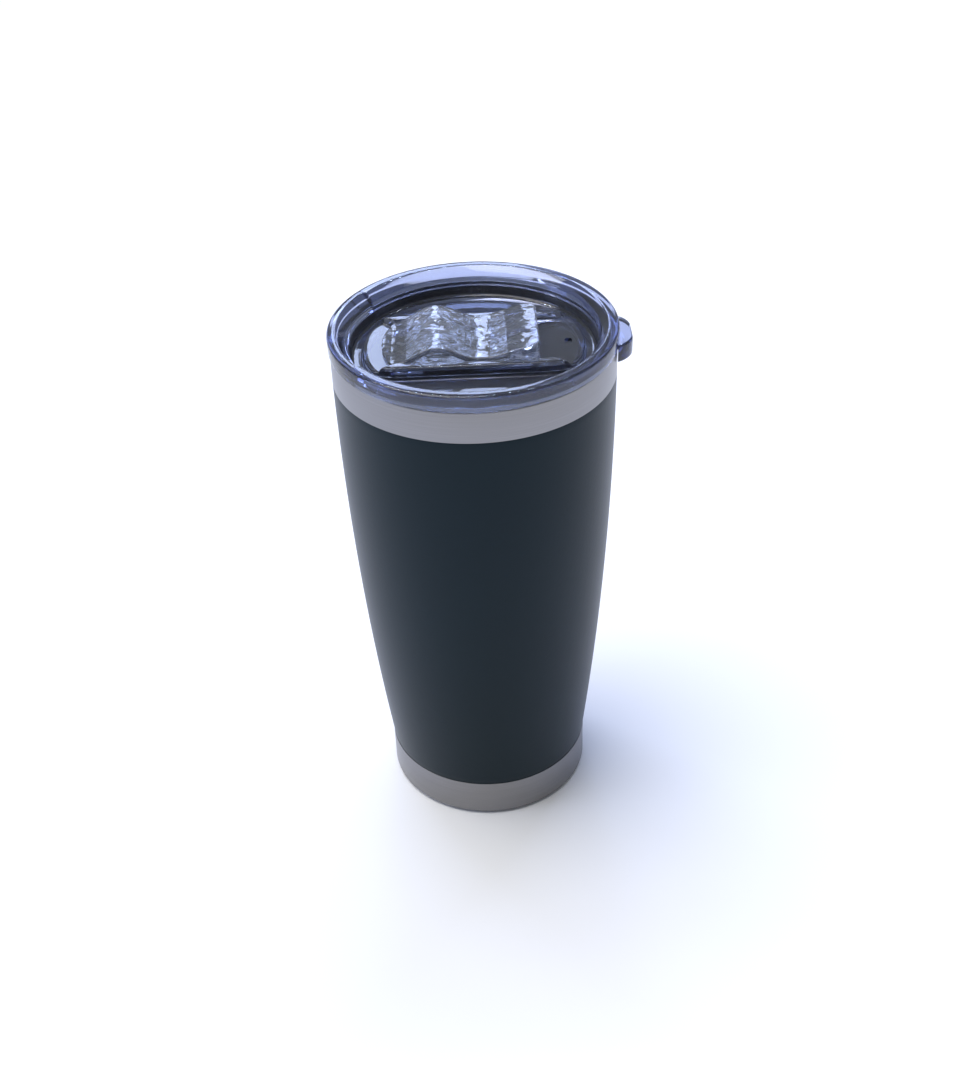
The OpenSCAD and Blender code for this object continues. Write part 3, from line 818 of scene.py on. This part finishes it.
class TUMBLER_OT_slider(bpy.types.Operator):
    """Makes the clear slider with its wavy grip, upright tail, plate and peg"""
    bl_idname = "tumbler.slider"
    bl_label = "Slider"

    def execute(self, context):
        sizes, looks = context.scene.tumbler_slider, context.scene.tumbler_finishes
        tip, tail = SLIDER_LOW.x, SLIDER_HIGH.x
        plate_top = SLIDER_HIGH.z - sizes.crest
        start = tip + sizes.wave_start
        rise = lambda x: wave(sizes, x, start, CREST_X, DIP_X, tail)
        grip = self.grip(sizes, rise, start, tail, plate_top)
        for tool in self.hollows(sizes, rise, start, tail, plate_top):
            carve(grip, tool, "DIFFERENCE")
        carve(grip, self.plate(sizes, tip, tail, plate_top), "UNION")
        carve(grip, self.peg(sizes, plate_top), "UNION")
        clear = moulded_clear(
            "clear_plastic", looks.clear, density=85.0, clearness=0.955, rough=0.06,
            ripple=0.6 * MM, ripple_scale=220)
        dress(grip, clear, "slider", "clear_plastic", "slider")
        return {"FINISHED"}

    def half_width(self, sizes, x, tail):
        """Half the grip's width: at the tip a circle about the lid's axis, at the tail round corners."""
        tip = -SLIDER_LOW.x
        front = np.sqrt(np.maximum(tip ** 2 - np.minimum(x, 0) ** 2, 0))
        past = np.clip(x - (tail - sizes.tail_round), 0, sizes.tail_round)
        back = sizes.body_half - sizes.tail_round + np.sqrt(sizes.tail_round ** 2 - past ** 2)
        return np.minimum(np.minimum(front, sizes.body_half), back)

    def grip(self, sizes, rise, start, tail, plate_top):
        """Rounded rectangles at each x, from inside the plate up to the wave, rounded over at the tail.

        Each ring runs along the crown, down one rounded edge, back along the base and up the other edge.
        """
        edge, thumb_radius = 0.4 * MM, 4.8 * MM
        crown, base, corner = 60, 12, 6
        t = np.linspace(0, math.pi / 2, corner)
        x = np.concatenate([np.linspace(start, tail - edge, 150), tail - edge + edge * np.sin(t[1:])])
        top = plate_top + rise(x) + 0.02 * MM
        top[-corner + 1 :] -= edge * (1 - np.cos(t[1:]))
        low = plate_top - 0.8 * sizes.plate
        ones = np.ones
        across = np.concatenate([
            np.linspace(1, -1, crown), -ones(corner), np.linspace(-1, 1, base), ones(corner)])
        out = np.concatenate([
            np.zeros(crown), -np.sin(t), -ones(base // 2), ones(base // 2), np.sin(t[::-1])])
        up = np.concatenate([ones(crown), np.cos(t), np.zeros(base), np.cos(t[::-1])])
        on_top = np.concatenate([ones(crown + corner), np.zeros(base), ones(corner)])
        half = self.half_width(sizes, x, tail)[:, None]
        y = across * (half - edge) + out * edge
        z = np.where(on_top > 0, top[:, None] - edge + edge * up, low)
        reach = np.clip(1 - ((x[:, None] - CREST_X) ** 2 + y ** 2) / thumb_radius ** 2, 0, 1)
        z = z - on_top * sizes.thumb * reach
        rings = np.stack([np.broadcast_to(x[:, None], y.shape), y, z], -1)
        count = rings.shape[1]
        faces = grid_faces(len(rings), count, False, True).tolist()
        faces += [list(range(count)), list(range((len(rings) - 1) * count, len(rings) * count))]
        return piece("slider_closure", rings, faces)

    def hollows(self, sizes, rise, start, tail, plate_top):
        """Tools for the open spaces between the ribbon's underside and the plate, up to the solid tail."""
        x = np.linspace(start, tail - sizes.tail_length, 160)
        gap = rise(x) - sizes.ribbon
        open_x = gap > 0.02 * MM
        middle = (start + tail) / 2
        for keep in (open_x & (x < middle), open_x & (x >= middle)):
            side = np.column_stack([x[keep], plate_top + gap[keep]])
            base = np.column_stack([x[keep][[0, -1]], [plate_top, plate_top]])
            outline = np.concatenate([base, side[::-1]])
            count = len(outline)
            reach = 20 * MM
            rings = [np.column_stack([outline[:, 0], np.full(count, y), outline[:, 1]])
                     for y in (-reach, reach)]
            faces = grid_faces(2, count, False, True).tolist() + [list(range(count)),
                                                                  list(range(count, 2 * count))]
            yield piece("hollow_tool", np.stack(rings), faces)

    def plate(self, sizes, tip, tail, plate_top):
        """The flat plate, as wide as the rails allow."""
        half = SLIDER_HIGH.y
        t = np.linspace(math.pi - math.asin(half / -tip), math.pi + math.asin(half / -tip), 40)
        front = np.column_stack([-tip * np.cos(t), -tip * np.sin(t)])
        back = rounded_box(0, tail, half, sizes.tail_round)
        back = back[back[:, 0] > sizes.tail_round + 1 * MM]
        right = back[back[:, 1] < 0]
        left = back[back[:, 1] > 0]
        outline = np.concatenate([front, right, left])
        return slab("plate", outline, plate_top - sizes.plate, plate_top, 0.2 * MM)

    def peg(self, sizes, plate_top):
        """The peg with its snap head, turned about its own axis under the grip's dip."""
        low, high = SLIDER_LOW.z, plate_top - 0.4 * sizes.plate
        ramp, neck = low + 0.9 * MM, low + 1.2 * MM
        radius, head = sizes.peg / 2, sizes.peg / 2 + sizes.peg_head
        corners = np.array([(0, low), (radius - 0.3 * MM, low), (head, ramp), (head, neck),
                            (radius, neck), (radius, high), (0, high)])
        segments = 40
        turns = np.linspace(0, TURN, segments, endpoint=False)
        radii = [r * MM for r in (0, 0.2, 0.2, 0.1, 0.1, 0, 0)]
        rings = filleted(np.repeat(corners[:, None, :], segments, 1), radii, 4)
        points = around(rings, turns) + [DIP_X, 0, 0]
        return piece("peg", points, grid_faces(len(points), segments, False, True).tolist())


class TUMBLER_OT_inner_parts(bpy.types.Operator):
    """Finishes the sealed parts between the walls, which keep their CAD shapes"""
    bl_idname = "tumbler.inner_parts"
    bl_label = "Inner parts"

    def execute(self, context):
        looks = context.scene.tumbler_finishes
        finishes = {
            "copper_lining": hidden_metal("copper_film", looks.copper, 1.0, 0.25, 400),
            "vacuum_base": turned_steel("vacuum_base_steel", looks.liner, 0.3, 0.006 * MM),
            "seal_bead": hidden_metal("glass_solder", (0.03, 0.03, 0.035), 0.0, 0.1, 900),
            "getter_clip": hidden_metal("clip_steel", looks.liner, 1.0, 0.3, 900),
            "getter_pellet": hidden_metal("getter_powder", (0.05, 0.05, 0.055), 0.6, 0.7, 3500),
        }
        for node, material in finishes.items():
            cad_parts[node].material_slots[0].material = material
        return {"FINISHED"}


class TUMBLER_PT_panel(bpy.types.Panel):
    """Lists the steps that build the tumbler"""
    bl_idname = "TUMBLER_PT_panel"
    bl_label = "Tumbler"
    bl_space_type = "VIEW_3D"
    bl_region_type = "UI"
    bl_category = "Tumbler"

    def draw(self, context):
        for step in STEPS:
            self.layout.operator(step.bl_idname)
        for name in GROUPS:
            group = getattr(context.scene, name)
            for key in group.__annotations__:
                self.layout.prop(group, key)


STEPS = (TUMBLER_OT_stage, TUMBLER_OT_cup, TUMBLER_OT_gasket, TUMBLER_OT_lid, TUMBLER_OT_slider,
         TUMBLER_OT_inner_parts)
GROUPS = {"tumbler_cup": CupSizes, "tumbler_lid": LidSizes, "tumbler_slider": SliderSizes,
          "tumbler_finishes": Finishes, "tumbler_stage": StageSizes}
CLASSES = (*GROUPS.values(), *STEPS, TUMBLER_PT_panel)


def register():
    for made in CLASSES:
        bpy.utils.register_class(made)
    for name, group in GROUPS.items():
        setattr(bpy.types.Scene, name, bpy.props.PointerProperty(type=group))


def unregister():
    for name in GROUPS:
        delattr(bpy.types.Scene, name)
    for made in reversed(CLASSES):
        bpy.utils.unregister_class(made)


def main():
    """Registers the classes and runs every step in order."""
    register()
    for step in STEPS:
        group, name = step.bl_idname.split(".")
        getattr(getattr(bpy.ops, group), name)()
    boxes = {"cad": [list(corner) for corner in CAD_BOX], "visual": [list(corner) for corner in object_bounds()]}


if __name__ == "__main__":
    main()
